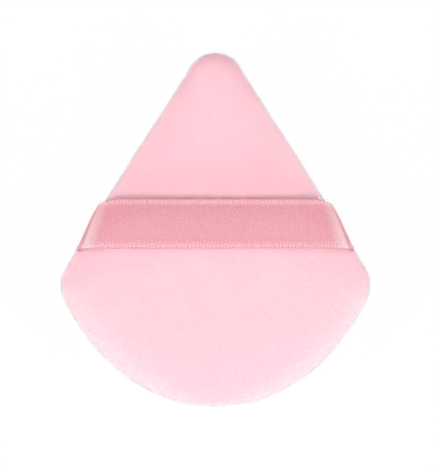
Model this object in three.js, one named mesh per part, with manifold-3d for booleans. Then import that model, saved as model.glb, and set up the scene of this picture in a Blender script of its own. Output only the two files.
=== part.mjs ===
// Powder puff: a rounded triangular velour pad with a sponge core and a satin ribbon strap on its back.
// Millimetres, +Z up. The pad lies on its applicator face at z = 0, centred on the origin,
// its tip towards +Y and the ribbon on top.

import * as THREE from "three";
import { mergeVertices } from "three/addons/utils/BufferGeometryUtils.js";
import Module from "manifold-3d";

const wasm = await Module();
wasm.setup();

// Outline of the pad, seen from above
const PAD_WIDTH = 70;
const PAD_LENGTH = 79.8;
const TIP_RADIUS = 6.5;
const CORNER_RADIUS = 8.1;
const CORNER_HEIGHT = 27.5; // centre of a corner's arc, above the lowest point of the base
const CORNER_TURN = 25.3; // degrees of a corner's arc that lie below its widest point
const BASE_REACH = 18.5; // how far the base curve heads straight out from the middle
const FLANK_REACH = 10.7; // how far it heads straight into a corner

// Form of the cushion
const FRONT_DEPTH = 5.6; // applicator face to seam
const BACK_DEPTH = 7.4; // seam to the top of the crown
const EDGE_FULLNESS = 3; // exponent of the superellipse that rounds the edges
const FRONT_ROUND = 4.6; // how far in the front edge is round before the face lies flat
const SEAM_GROOVE = 0.4; // depth of the crease along the seam
const SEAM_ROLL = 0.9; // height from the crease to the fullest line of the edge

// Fabric and seam
const FABRIC_THICKNESS = 1.4;
const SEAM_GAP = 0.2; // between the two turned-in edges
const SEAM_TURN = 1.1; // stitch line inside the inner face of the fabric
const SEAM_ALLOWANCE = 1.3; // fabric beyond the stitch line
const TURNING_GAP = 30; // stretch of the base that is left open for turning and filling

// Stitches
const THREAD_RADIUS = 0.1;
const STITCH_PITCH = 4.5;
const STITCH_SPREAD = 0.36; // half the distance between the two legs of a needle loop
const THREAD_TAIL = 2; // left at both ends of a thread
const LADDER_PITCH = 3;
const LADDER_DEPTH = 0.6; // closing stitch behind the crease
const LADDER_RISE = 0.6; // closing stitch above and below the edges of the folds

// Ribbon strap
const RIBBON_WIDTH = 11;
const RIBBON_THICKNESS = 0.4;
const RIBBON_Y = 1.3; // middle of the ribbon, towards the tip
const FINGER_GAP = 5.5; // crown of the pad to the underside of the ribbon
const RIBBON_ARCH = 1.5; // drop of the ribbon from its middle to its bends

// Ends of the ribbon: distances outward of the pad's side, at the ribbon's lower and upper edge
const RIBBON_EXIT = [-1, 0]; // where it leaves the seam
const RIBBON_BELLY = [0.6, 1.9]; // how far it heads out of the seam
const RIBBON_SHOULDER = [-0.2, 1.7]; // where it turns over
const RIBBON_BEND = [-4, -0.8]; // where it has become the span

// Clearances
const SOFT_CLEARANCE = 0.3; // between soft pieces that lie against each other
const THREAD_CLEARANCE = 0.15; // round a thread

// Mesh steps
const BASE_STEPS = 8;
const CORNER_STEPS = 4;
const SIDE_STEPS = 5;
const TIP_STEPS = 4;
const OUTSIDE_STEPS = 6;
const INSIDE_STEPS = 4;
const SPAN_STEPS = 12;
const BEND_STEPS = 8;
const RIBBON_STRIPS = 4;
const THREAD_SIDES = 4;

// Levels and insets that follow from the sizes above
const seamZ = FRONT_DEPTH;
const crownZ = FRONT_DEPTH + BACK_DEPTH;
const backLipZ = seamZ + SEAM_GAP / 2;
const frontLipZ = seamZ - SEAM_GAP / 2;
const backLipTop = backLipZ + FABRIC_THICKNESS;
const frontLipBottom = frontLipZ - FABRIC_THICKNESS;
const stitchInset = FABRIC_THICKNESS + SEAM_TURN;
const lipReach = stitchInset + SEAM_ALLOWANCE;
const insetLimit = lipReach + SOFT_CLEARANCE;

const up = new THREE.Vector3(0, 0, 1);
const at = (x, y, z) => new THREE.Vector3(x, y, z);
const mix = (a, b, share) => a + (b - a) * share;

// Right half of the outline, from the middle of the base round a corner and up to the tip
const corner = new THREE.Vector2(PAD_WIDTH / 2 - CORNER_RADIUS, CORNER_HEIGHT - PAD_LENGTH / 2);
const tip = new THREE.Vector2(0, PAD_LENGTH / 2 - TIP_RADIUS);
const toCorner = corner.clone().sub(tip);
const sideAngle = toCorner.angle() - 2 * Math.PI
  + Math.acos((TIP_RADIUS - CORNER_RADIUS) / toCorner.length());
const sideNormal = new THREE.Vector2(Math.cos(sideAngle), Math.sin(sideAngle));
const sideStart = corner.clone().addScaledVector(sideNormal, CORNER_RADIUS);
const sideEnd = tip.clone().addScaledVector(sideNormal, TIP_RADIUS);

function rightOutline() {
  const turn = THREE.MathUtils.degToRad(CORNER_TURN);
  const baseStart = new THREE.Vector2(0, -PAD_LENGTH / 2);
  const baseEnd = new THREE.Vector2(Math.cos(turn), -Math.sin(turn))
    .multiplyScalar(CORNER_RADIUS).add(corner);
  const baseHandle = new THREE.Vector2(BASE_REACH, -PAD_LENGTH / 2);
  const flankHandle = new THREE.Vector2(-Math.sin(turn), -Math.cos(turn))
    .multiplyScalar(FLANK_REACH).add(baseEnd);
  const outline = new THREE.CurvePath();
  outline.add(new THREE.CubicBezierCurve(baseStart, baseHandle, flankHandle, baseEnd));
  outline.add(new THREE.ArcCurve(corner.x, corner.y, CORNER_RADIUS, -turn, sideAngle, false));
  outline.add(new THREE.LineCurve(sideStart, sideEnd));
  outline.add(new THREE.ArcCurve(tip.x, tip.y, TIP_RADIUS, sideAngle, Math.PI / 2, false));
  return outline;
}

const outline = rightOutline();
const halfLength = outline.getLength();
const stepCounts = [BASE_STEPS, CORNER_STEPS, SIDE_STEPS, TIP_STEPS];

const inwardOf = (tangent) => new THREE.Vector2(-tangent.y, tangent.x);
const mirroredEdge = ({ point, inward }) => ({
  point: new THREE.Vector2(-point.x, point.y),
  inward: new THREE.Vector2(-inward.x, inward.y),
});

// The rim: points of the whole outline, anticlockwise from the middle of the base, with inward normals
function rimPoints() {
  const right = outline.curves.flatMap((curve, k) =>
    Array.from({ length: stepCounts[k] }, (_, i) => ({
      point: curve.getPoint(i / stepCounts[k]),
      inward: inwardOf(curve.getTangent(i / stepCounts[k])),
    })));
  const top = { point: new THREE.Vector2(0, PAD_LENGTH / 2), inward: new THREE.Vector2(0, -1) };
  return [...right, top, ...right.slice(1).reverse().map(mirroredEdge)];
}

const rim = rimPoints();

// The crown stands over the middle of the pad's widest line
const middle = new THREE.Vector2(0, corner.y + CORNER_RADIUS * Math.sin(sideAngle));
const middleDepth = Math.min(...rim.map(({ point }) => point.distanceTo(middle)));

// A place on the outline, its distance measured from the middle of the base: to the right and round
function edgeAt(distance) {
  if (distance < 0) return mirroredEdge(edgeAt(-distance));
  if (distance > halfLength) return mirroredEdge(edgeAt(2 * halfLength - distance));
  const share = distance / halfLength;
  return { point: outline.getPoint(share), inward: inwardOf(outline.getTangent(share)) };
}

function insetAt(distance, depth, z) {
  const { point, inward } = edgeAt(distance);
  const inset = point.clone().addScaledVector(inward, depth);
  return at(inset.x, inset.y, z);
}

// x of the pad's straight right side at a given y
function sideX(y) {
  return mix(sideStart.x, sideEnd.x, (y - sideStart.y) / (sideEnd.y - sideStart.y));
}

// Mesh from corner points and triangles
function meshOf(points, triangles) {
  const geometry = new THREE.BufferGeometry();
  const position = points.flatMap((p) => [p.x, p.y, p.z]);
  geometry.setAttribute("position", new THREE.Float32BufferAttribute(position, 3));
  geometry.setIndex(triangles.flat());
  geometry.computeVertexNormals();
  return geometry;
}

// One ring of the cushion: the rim set in by a depth, and beyond the seam allowance drawn to the middle
function ringAt({ depth, z }) {
  const scale = Math.min(1, (middleDepth - depth) / (middleDepth - insetLimit));
  return rim.map(({ point, inward }) => {
    const p = point.clone().addScaledVector(inward, Math.min(depth, insetLimit));
    p.sub(middle).multiplyScalar(scale).add(middle);
    return at(p.x, p.y, z);
  });
}

// Closed solid from a profile of { depth, z } that starts and ends in the middle
function loft(profile) {
  const count = rim.length;
  const rings = profile.slice(1, -1).map(ringAt);
  const first = at(middle.x, middle.y, profile[0].z);
  const last = at(middle.x, middle.y, profile.at(-1).z);
  const points = [first, ...rings.flat(), last];
  const index = (ring, i) => 1 + ring * count + (i % count);
  const triangles = [];
  for (let i = 0; i < count; i += 1) {
    triangles.push([0, index(0, i), index(0, i + 1)]);
    for (let ring = 0; ring < rings.length - 1; ring += 1) {
      triangles.push([index(ring, i), index(ring + 1, i), index(ring + 1, i + 1)]);
      triangles.push([index(ring, i), index(ring + 1, i + 1), index(ring, i + 1)]);
    }
    triangles.push([index(rings.length - 1, i), points.length - 1, index(rings.length - 1, i + 1)]);
  }
  return meshOf(points, triangles);
}

// Rounded stretch of a profile: a quarter superellipse from its edge (depth, z) to its top
function roundedEdge(edge, top, steps) {
  return Array.from({ length: steps }, (_, k) => {
    const angle = ((k + 1) / steps) * (Math.PI / 2);
    const along = k + 1 < steps ? Math.cos(angle) ** (2 / EDGE_FULLNESS) : 0;
    return {
      depth: mix(edge.depth, top.depth, 1 - along),
      z: mix(edge.z, top.z, Math.sin(angle) ** (2 / EDGE_FULLNESS)),
    };
  });
}

const backInside = roundedEdge(
  { depth: FABRIC_THICKNESS, z: backLipTop },
  { depth: middleDepth, z: crownZ - FABRIC_THICKNESS },
  INSIDE_STEPS,
);
const frontInside = roundedEdge(
  { depth: FABRIC_THICKNESS, z: frontLipBottom },
  { depth: FRONT_ROUND, z: FABRIC_THICKNESS },
  INSIDE_STEPS,
);

function backPanel() {
  const outside = roundedEdge({ depth: 0, z: seamZ }, { depth: middleDepth, z: crownZ }, OUTSIDE_STEPS);
  return loft([
    ...outside.reverse(),
    { depth: 0, z: backLipZ + SEAM_ROLL },
    { depth: SEAM_GROOVE, z: backLipZ },
    { depth: lipReach, z: backLipZ },
    { depth: lipReach, z: backLipTop },
    { depth: FABRIC_THICKNESS, z: backLipTop },
    ...backInside,
  ]);
}

function frontPanel() {
  const outside = roundedEdge({ depth: 0, z: seamZ }, { depth: FRONT_ROUND, z: 0 }, OUTSIDE_STEPS);
  return loft([
    { depth: middleDepth, z: FABRIC_THICKNESS },
    ...[...frontInside].reverse(),
    { depth: FABRIC_THICKNESS, z: frontLipBottom },
    { depth: lipReach, z: frontLipBottom },
    { depth: lipReach, z: frontLipZ },
    { depth: SEAM_GROOVE, z: frontLipZ },
    { depth: 0, z: frontLipZ - SEAM_ROLL },
    ...outside,
    { depth: middleDepth, z: 0 },
  ]);
}

// The sponge is cut to lie inside the turned-in edges of the fabric
function spongeCore() {
  const inside = ({ depth }) => depth > insetLimit;
  const top = backInside.filter(inside).map(({ depth, z }) => ({ depth, z: z - SOFT_CLEARANCE }));
  const bottomZ = FABRIC_THICKNESS + SOFT_CLEARANCE;
  return loft([
    ...top.reverse(),
    { depth: insetLimit, z: backLipTop },
    { depth: insetLimit, z: frontLipBottom },
    { depth: Math.max(insetLimit, FRONT_ROUND) + SOFT_CLEARANCE, z: bottomZ },
    { depth: middleDepth, z: bottomZ },
  ]);
}

// Ribbon: a strip whose middle surface is given by a share of its run and a share of its width
function strip(surface, runSteps, thickness) {
  const nudge = 1e-3;
  const normalAt = (run, width) => {
    const along = surface(run + nudge, width).sub(surface(run - nudge, width));
    const across = surface(run, width + nudge).sub(surface(run, width - nudge));
    return along.cross(across).normalize();
  };
  const points = [];
  for (let i = 0; i <= runSteps; i += 1) {
    for (const side of [1, -1]) {
      for (let j = 0; j <= RIBBON_STRIPS; j += 1) {
        const run = i / runSteps;
        const width = j / RIBBON_STRIPS;
        points.push(surface(run, width).addScaledVector(normalAt(run, width), (side * thickness) / 2));
      }
    }
  }
  const row = RIBBON_STRIPS + 1;
  const index = (i, side, j) => (2 * i + side) * row + j;
  const triangles = [];
  const quad = (a, b, c, d) => triangles.push([a, b, c], [a, c, d]);
  for (let i = 0; i < runSteps; i += 1) {
    for (let j = 0; j < RIBBON_STRIPS; j += 1) {
      quad(index(i, 0, j), index(i + 1, 0, j), index(i + 1, 0, j + 1), index(i, 0, j + 1));
      quad(index(i, 1, j), index(i, 1, j + 1), index(i + 1, 1, j + 1), index(i + 1, 1, j));
    }
    quad(index(i, 0, 0), index(i, 1, 0), index(i + 1, 1, 0), index(i + 1, 0, 0));
    quad(index(i, 0, row - 1), index(i + 1, 0, row - 1), index(i + 1, 1, row - 1), index(i, 1, row - 1));
  }
  for (let j = 0; j < RIBBON_STRIPS; j += 1) {
    quad(index(0, 0, j), index(0, 0, j + 1), index(0, 1, j + 1), index(0, 1, j));
    quad(index(runSteps, 0, j), index(runSteps, 1, j), index(runSteps, 1, j + 1), index(runSteps, 0, j + 1));
  }
  return meshOf(points, triangles);
}

const archZ = crownZ + FINGER_GAP + RIBBON_THICKNESS / 2;
const bendZ = archZ - RIBBON_ARCH;

// Where a line along the ribbon, at a share of its width, leaves the seam, bellies out and bends over
function ribbonLine(width) {
  const y = RIBBON_Y + (width - 0.5) * RIBBON_WIDTH;
  const outward = ([lower, upper]) => sideX(y) + mix(lower, upper, width);
  return {
    y,
    exit: outward(RIBBON_EXIT),
    belly: outward(RIBBON_BELLY),
    shoulder: outward(RIBBON_SHOULDER),
    bend: outward(RIBBON_BEND),
  };
}

function spanSurface(run, width) {
  const { y, bend } = ribbonLine(width);
  const reach = bend - SOFT_CLEARANCE / 2;
  const across = 2 * run - 1;
  return at(across * reach, y, archZ - RIBBON_ARCH * across ** 2);
}

// Right end of the ribbon: a tail between the two turned-in edges, then up and over to the span
function endSurface(tailDepth, extraWidth) {
  const tail = tailDepth / Math.cos(sideAngle);
  return (run, share) => {
    const width = 0.5 + (share - 0.5) * (1 + extraWidth / RIBBON_WIDTH);
    const { y, exit, belly, shoulder, bend } = ribbonLine(width);
    const slope = (2 * RIBBON_ARCH) / bend;
    const bends = new THREE.CubicBezierCurve3(
      at(exit, y, seamZ),
      at(belly, y, seamZ),
      at(shoulder, y, bendZ - slope * (shoulder - bend)),
      at(bend + SOFT_CLEARANCE / 2, y, bendZ),
    );
    const place = run * (BEND_STEPS + 1) - 1;
    if (place < 0) return at(mix(exit, sideX(y) - tail, -place), y, seamZ);
    return bends.getPoint(place / BEND_STEPS);
  };
}

function ribbonEnd() {
  return strip(endSurface(lipReach - SOFT_CLEARANCE, 0), BEND_STEPS + 1, RIBBON_THICKNESS);
}

// Room that the two folds of fabric leave for the ribbon where it comes out of the seam
function ribbonPocket() {
  const spare = 2 * SOFT_CLEARANCE;
  return strip(endSurface(lipReach + SOFT_CLEARANCE, spare), BEND_STEPS + 1, RIBBON_THICKNESS + spare);
}

// Thread: a tube of few sides along a line of points, mitred where the line turns
function thread(points, radius) {
  const headings = points.slice(1).map((p, k) => p.clone().sub(points[k]).normalize());
  const sideways = up.clone().cross(headings[0]).normalize();
  const upward = headings[0].clone().cross(sideways);
  let ring = Array.from({ length: THREAD_SIDES }, (_, k) => {
    const angle = (2 * Math.PI * k) / THREAD_SIDES;
    return points[0].clone()
      .addScaledVector(sideways, radius * Math.cos(angle))
      .addScaledVector(upward, radius * Math.sin(angle));
  });
  const rings = [ring];
  for (let k = 1; k < points.length; k += 1) {
    const heading = headings[k - 1];
    const next = headings[k] ?? heading;
    const mitre = heading.clone().add(next).normalize();
    ring = ring.map((p) => {
      const ahead = points[k].clone().sub(p).dot(mitre) / heading.dot(mitre);
      return p.clone().addScaledVector(heading, ahead);
    });
    rings.push(ring);
  }
  const index = (k, i) => k * THREAD_SIDES + (i % THREAD_SIDES);
  const triangles = [];
  for (let k = 0; k < rings.length - 1; k += 1) {
    for (let i = 0; i < THREAD_SIDES; i += 1) {
      triangles.push([index(k, i), index(k, i + 1), index(k + 1, i + 1)]);
      triangles.push([index(k, i), index(k + 1, i + 1), index(k + 1, i)]);
    }
  }
  for (let i = 1; i < THREAD_SIDES - 1; i += 1) {
    triangles.push([index(0, 0), index(0, i + 1), index(0, i)]);
    triangles.push([index(rings.length - 1, 0), index(rings.length - 1, i), index(rings.length - 1, i + 1)]);
  }
  return meshOf(rings.flat(), triangles);
}

// Lockstitch: the needle thread lies on the back fold and loops down round the bobbin thread
const sewnLength = 2 * halfLength - TURNING_GAP;
const stitchCount = Math.round(sewnLength / STITCH_PITCH);
const stitches = Array.from({ length: stitchCount + 1 }, (_, k) =>
  TURNING_GAP / 2 + (k * sewnLength) / stitchCount);
const needleTopZ = backLipTop + THREAD_CLEARANCE + THREAD_RADIUS;
const bobbinZ = frontLipBottom - THREAD_CLEARANCE - THREAD_RADIUS;
const needleLoopZ = bobbinZ - THREAD_CLEARANCE - 2 * THREAD_RADIUS;

function needleThread() {
  const inner = stitchInset + STITCH_SPREAD;
  const outer = stitchInset - STITCH_SPREAD;
  const loops = stitches.flatMap((distance) => [
    insetAt(distance, inner, needleTopZ),
    insetAt(distance, inner, needleLoopZ),
    insetAt(distance, outer, needleLoopZ),
    insetAt(distance, outer, needleTopZ),
  ]);
  const start = insetAt(stitches[0] - THREAD_TAIL, stitchInset, needleTopZ);
  const end = insetAt(stitches.at(-1) + THREAD_TAIL, stitchInset, needleTopZ);
  return thread([start, ...loops, end], THREAD_RADIUS);
}

function bobbinThread() {
  const halfPitch = sewnLength / stitchCount / 2;
  const places = stitches.slice(0, -1).flatMap((distance) => [distance, distance + halfPitch]);
  const ends = [stitches[0] - THREAD_TAIL, stitches.at(-1), stitches.at(-1) + THREAD_TAIL];
  const run = [ends[0], ...places, ends[1], ends[2]];
  return thread(run.map((distance) => insetAt(distance, stitchInset, bobbinZ)), THREAD_RADIUS);
}

// Needle hole of one stitch, through both folds
function needleHole(distance) {
  const room = THREAD_RADIUS + THREAD_CLEARANCE;
  const hole = new THREE.BoxGeometry(2 * (STITCH_SPREAD + room), 2 * room, needleTopZ - needleLoopZ);
  const { inward } = edgeAt(distance);
  hole.rotateZ(inward.angle());
  const place = insetAt(distance, stitchInset, (needleTopZ + needleLoopZ) / 2);
  return hole.translate(place.x, place.y, place.z);
}

// Ladder stitch: runs inside one fold, crosses the seam, runs inside the other
function ladderPath() {
  const depth = SEAM_GROOVE + LADDER_DEPTH;
  const levels = [frontLipZ - LADDER_RISE, backLipZ + LADDER_RISE];
  const reach = TURNING_GAP / 2;
  const count = Math.round(TURNING_GAP / LADDER_PITCH);
  const rungs = Array.from({ length: count + 1 }, (_, k) => {
    const distance = mix(-reach, reach, k / count);
    return [insetAt(distance, depth, levels[k % 2]), insetAt(distance, depth, levels[(k + 1) % 2])];
  });
  const start = insetAt(-reach - THREAD_TAIL, depth, levels[0]);
  const end = insetAt(reach + THREAD_TAIL, depth, levels[(count + 1) % 2]);
  return [start, ...rungs.flat(), end];
}

// Joining and cutting
function solidOf(geometry) {
  const bare = geometry.clone();
  bare.deleteAttribute("normal");
  bare.deleteAttribute("uv");
  const merged = mergeVertices(bare);
  return new wasm.Manifold(new wasm.Mesh({
    numProp: 3,
    vertProperties: new Float32Array(merged.attributes.position.array),
    triVerts: new Uint32Array(merged.index.array),
  }));
}

function geometryOf(solid) {
  const { vertProperties, triVerts } = solid.getMesh();
  const geometry = new THREE.BufferGeometry();
  geometry.setAttribute("position", new THREE.BufferAttribute(new Float32Array(vertProperties), 3));
  geometry.setIndex(new THREE.BufferAttribute(new Uint32Array(triVerts), 1));
  geometry.computeVertexNormals();
  return geometry;
}

// The same piece on the left: its points mirrored and its triangles turned over
function mirroredMesh(geometry) {
  const mirror = geometry.clone().scale(-1, 1, 1);
  mirror.index.array.reverse();
  return mirror;
}

const joined = (solids) => solids.reduce((sum, solid) => sum.add(solid));

const needleHoles = joined(stitches.map((distance) => solidOf(needleHole(distance))));
const rightPocket = solidOf(ribbonPocket());
const leftPocket = solidOf(mirroredMesh(ribbonPocket()));
const ladderTunnel = solidOf(thread(ladderPath(), THREAD_RADIUS + THREAD_CLEARANCE));
const panelCuts = [needleHoles, rightPocket, leftPocket, ladderTunnel];

const sewnPanel = (geometry) =>
  geometryOf(panelCuts.reduce((panel, cut) => panel.subtract(cut), solidOf(geometry)));
const sewnEnd = (geometry) => geometryOf(solidOf(geometry).subtract(needleHoles));

// Materials
const velour = () => new THREE.MeshStandardMaterial({ color: 0xfeceda, roughness: 0.95, metalness: 0 });
const sponge = new THREE.MeshStandardMaterial({ color: 0xf7e3e2, roughness: 0.9, metalness: 0 });
const satin = () => new THREE.MeshStandardMaterial({ color: 0xf1a8b4, roughness: 0.45, metalness: 0 });
const polyester = () => new THREE.MeshStandardMaterial({ color: 0xf3b3bf, roughness: 0.6, metalness: 0 });

// Scene graph
function piece(name, geometry, material) {
  const mesh = new THREE.Mesh(geometry, material);
  mesh.name = name;
  return mesh;
}

const cushion = new THREE.Group();
cushion.add(
  piece("front_velour", sewnPanel(frontPanel()), velour()),
  piece("back_velour", sewnPanel(backPanel()), velour()),
  piece("sponge_core", spongeCore(), sponge),
);

const stitching = new THREE.Group();
stitching.add(
  piece("seam_needle_thread", needleThread(), polyester()),
  piece("seam_bobbin_thread", bobbinThread(), polyester()),
  piece("closing_thread", thread(ladderPath(), THREAD_RADIUS), polyester()),
);

const strap = new THREE.Group();
strap.add(
  piece("ribbon_span", strip(spanSurface, SPAN_STEPS, RIBBON_THICKNESS), satin()),
  piece("ribbon_right_end", sewnEnd(ribbonEnd()), satin()),
  piece("ribbon_left_end", sewnEnd(mirroredMesh(ribbonEnd())), satin()),
);

const puff = new THREE.Group();
puff.add(cushion, stitching, strap);

export default puff;
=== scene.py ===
# %% [markdown]
# # A velour powder puff
# A powder puff is a small cushion that is held by two fingers under a ribbon. This one is cut as a
# rounded triangle, so its tip can reach the corners of the eyes. Two panels of short-pile velour are
# sewn together right sides in, turned, and filled with a thin sponge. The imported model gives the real
# sizes and the bodies that move, and everything below is built in that same frame. Blender works in
# metres. The puff's own lengths are written in millimetres and multiplied by MM where Blender takes them.

# %% Load the frame
import math

import bpy
import numpy as np
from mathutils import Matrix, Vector, noise


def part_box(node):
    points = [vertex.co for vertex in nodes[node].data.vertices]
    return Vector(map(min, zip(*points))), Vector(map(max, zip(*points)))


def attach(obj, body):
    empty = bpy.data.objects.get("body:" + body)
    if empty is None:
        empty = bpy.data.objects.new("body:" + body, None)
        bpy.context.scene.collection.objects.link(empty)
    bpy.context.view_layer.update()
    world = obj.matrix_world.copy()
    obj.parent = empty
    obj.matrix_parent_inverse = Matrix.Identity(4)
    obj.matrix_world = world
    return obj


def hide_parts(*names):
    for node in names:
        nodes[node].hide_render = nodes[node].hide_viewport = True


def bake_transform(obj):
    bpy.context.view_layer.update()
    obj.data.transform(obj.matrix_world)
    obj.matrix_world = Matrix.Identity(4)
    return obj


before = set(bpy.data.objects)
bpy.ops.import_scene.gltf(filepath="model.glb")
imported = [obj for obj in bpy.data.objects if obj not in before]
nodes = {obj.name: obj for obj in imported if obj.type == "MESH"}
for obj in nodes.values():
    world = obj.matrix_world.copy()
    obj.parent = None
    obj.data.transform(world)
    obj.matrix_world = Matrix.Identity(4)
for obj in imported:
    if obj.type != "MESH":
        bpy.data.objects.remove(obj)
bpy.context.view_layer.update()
MM = 0.001
print("CAD nodes:", ", ".join(sorted(nodes)))

# %% [markdown]
# ## Camera
# The puff was photographed from straight above. A long lens far away keeps the ribbon, which stands
# above the pad, from looking larger than it is. A parallel camera would do that too, but a real lens
# shows the slight slant of the ribbon's ends. One pixel covers the same length everywhere on the pad, so
# the lens follows from that length. The view is set a little to the side, because the puff isn't quite
# in the middle of the picture.

# %% Make the camera
PICTURE_ROWS = 468
PIXEL = 0.22606 * MM
CAMERA_DISTANCE = 1.5
SENSOR = 36.0
VIEW_CENTRE = Vector((0.49, -1.02, 0)) * MM

seam_z = (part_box("front_velour")[1][2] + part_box("back_velour")[0][2]) / 2
camera_data = bpy.data.cameras.new("camera")
camera_data.sensor_fit = "VERTICAL"
camera_data.sensor_height = SENSOR
camera_data.lens = SENSOR * CAMERA_DISTANCE / (PICTURE_ROWS * PIXEL)
camera_data.clip_end = 10
camera = bpy.data.objects.new("camera", camera_data)
camera.location = VIEW_CENTRE + Vector((0, 0, CAMERA_DISTANCE + seam_z))
bpy.context.collection.objects.link(camera)
bpy.context.scene.camera = camera
print(f"lens {camera_data.lens:.0f} mm at {CAMERA_DISTANCE} m")

# %% [markdown]
# ## Colours and nodes
# Colours are easiest to read as the hex values of a picture, but shaders work in linear light, so one
# function turns one into the other. A second small function adds a node: settings are its fields, and
# inputs are either plain values or the sockets that feed it. A Mix node has sockets for each kind of
# data: 0 is the share, 2 and 3 are numbers, 6 and 7 are colours, and a mixed colour leaves by output 2.


# %% Helpers for materials
def linear(hex_colour):
    """Linear RGBA of an sRGB hex colour such as #FFCCAA."""
    parts = [int(hex_colour[k:k + 2], 16) / 255 for k in (1, 3, 5)]
    return (*[c / 12.92 if c <= 0.04045 else ((c + 0.055) / 1.055) ** 2.4 for c in parts], 1)


def add(tree, kind, inputs=None, **settings):
    """Adds a node to a tree, sets its fields, and sets or links its inputs."""
    node = tree.nodes.new(kind)
    for name, value in settings.items():
        setattr(node, name, value)
    for name, value in (inputs or {}).items():
        if isinstance(value, bpy.types.NodeSocket):
            tree.links.new(value, node.inputs[name])
        else:
            node.inputs[name].default_value = value
    return node


def new_material(name):
    """An empty node material and its tree."""
    material = bpy.data.materials.new(name)
    material.use_nodes = True
    material.node_tree.nodes.clear()
    return material, material.node_tree


print("mid grey in linear light:", round(linear("#808080")[0], 3))

# %% [markdown]
# ## Stage and light
# A product like this is photographed on a sweep of white paper under soft light. Plain paper under plain
# lamps would come out grey, so for the camera, for glossy surfaces and through clear ones the paper glows
# white, with a tenth of real shading left in near the puff for its soft shadow. Most of the light is a
# softbox almost straight above. It hangs a little towards the base, so the ribbon's shadow is a narrow
# line on the side of the tip. Strips at the sides and two low lamps in front fill in the flanks.
# Together they light a level surface so that a colour looks about as it is written.

# %% Floor
FLOOR_HALF = 3.0
SHADOW_REACH = 0.06
WHITE_NEAR, WHITE_FAR = 0.9, 1.0

# Matt white paper on a roll: no gloss and no horizon, only the soft shadow of the puff.
floor_material, tree = new_material("white_paper_sweep")
paper = add(tree, "ShaderNodeBsdfDiffuse", {"Color": linear("#FDFDFD")})
glow = add(tree, "ShaderNodeEmission", {"Color": (1, 1, 1, 1), "Strength": 1.0})
path = add(tree, "ShaderNodeLightPath")
seen = add(tree, "ShaderNodeMath", {0: path.outputs["Is Camera Ray"], 1: path.outputs["Is Glossy Ray"]},
           operation="MAXIMUM")
through = add(tree, "ShaderNodeMath", {0: seen.outputs[0], 1: path.outputs["Is Transmission Ray"]},
              operation="MAXIMUM")
place = add(tree, "ShaderNodeTexCoord").outputs["Object"]
away = add(tree, "ShaderNodeVectorMath", {0: place}, operation="LENGTH").outputs["Value"]
white_share = add(tree, "ShaderNodeMapRange", {
    "Value": away,
    "From Min": SHADOW_REACH,
    "From Max": 3 * SHADOW_REACH,
    "To Min": WHITE_NEAR,
    "To Max": WHITE_FAR,
}).outputs[0]
share = add(tree, "ShaderNodeMath", {0: through.outputs[0], 1: white_share}, operation="MULTIPLY")
mixed = add(tree, "ShaderNodeMixShader", {0: share.outputs[0], 1: paper.outputs[0], 2: glow.outputs[0]})
add(tree, "ShaderNodeOutputMaterial", {"Surface": mixed.outputs[0]})

floor_corners = [(x * FLOOR_HALF, y * FLOOR_HALF, 0) for x, y in ((-1, -1), (1, -1), (1, 1), (-1, 1))]
floor_mesh = bpy.data.meshes.new("floor")
floor_mesh.from_pydata(floor_corners, [], [(0, 1, 2, 3)])
floor_mesh.materials.append(floor_material)
floor = bpy.data.objects.new("floor", floor_mesh)
bpy.context.collection.objects.link(floor)
print(f"floor: {2 * FLOOR_HALF:.0f} m wide")

# %% Surround
AMBIENT = 0.2

# The camera sees a white surround, and the puff is lit by a dim one.
world = bpy.data.worlds.new("studio_surround")
world.use_nodes = True
world.node_tree.nodes.clear()
tree = world.node_tree
path = add(tree, "ShaderNodeLightPath")
ambient = add(tree, "ShaderNodeBackground", {"Color": (1, 1, 1, 1), "Strength": AMBIENT})
white = add(tree, "ShaderNodeBackground", {"Color": (1, 1, 1, 1), "Strength": 1.0})
mixed = add(tree, "ShaderNodeMixShader",
            {0: path.outputs["Is Camera Ray"], 1: ambient.outputs[0], 2: white.outputs[0]})
add(tree, "ShaderNodeOutputWorld", {"Surface": mixed.outputs[0]})
bpy.context.scene.world = world
print("surround: ambient light of", AMBIENT)

# %% Lamps
LAMPS = (  # name, place in metres, side in metres, power in watts
    ("top_softbox", (0.0, -0.14, 2.0), 0.55, 22.6),
    ("front_left", (-1.1, -0.75, 0.4), 0.5, 3.8),
    ("front_right", (1.1, -0.75, 0.4), 0.5, 3.8),
    ("left_strip", (-1.2, 0.0, 0.75), 0.45, 4.1),
    ("right_strip", (1.2, 0.0, 0.75), 0.45, 4.1),
)

for name, place, size, power in LAMPS:
    lamp_data = bpy.data.lights.new(name, "AREA")
    lamp_data.size = size
    lamp_data.energy = power
    lamp = bpy.data.objects.new(name, lamp_data)
    lamp.location = place
    lamp.rotation_euler = (-Vector(place)).to_track_quat("-Z", "Y").to_euler()
    bpy.context.collection.objects.link(lamp)
bpy.context.scene.view_settings.view_transform = "Standard"
print("lamps:", ", ".join(name for name, *_ in LAMPS))

# %% [markdown]
# ## The outline of the pad
# Seen from above, the pad has a round tip, two straight sides, two rounded corners and a full curved
# base. It could be traced by hand as one free curve. Here it is drawn as the same arcs, lines and curve
# that the maker's paper pattern would have, and then stepped off at equal distances, because an even
# mesh takes noise and bends without a visible grid.

# %% Sizes of the outline
PAD_WIDTH = 70.0
TIP_RADIUS = 6.5
CORNER_RADIUS = 8.1
CORNER_HEIGHT = 27.5
CORNER_TURN = math.radians(25.3)
BASE_REACH = 18.5
FLANK_REACH = 10.7

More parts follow.
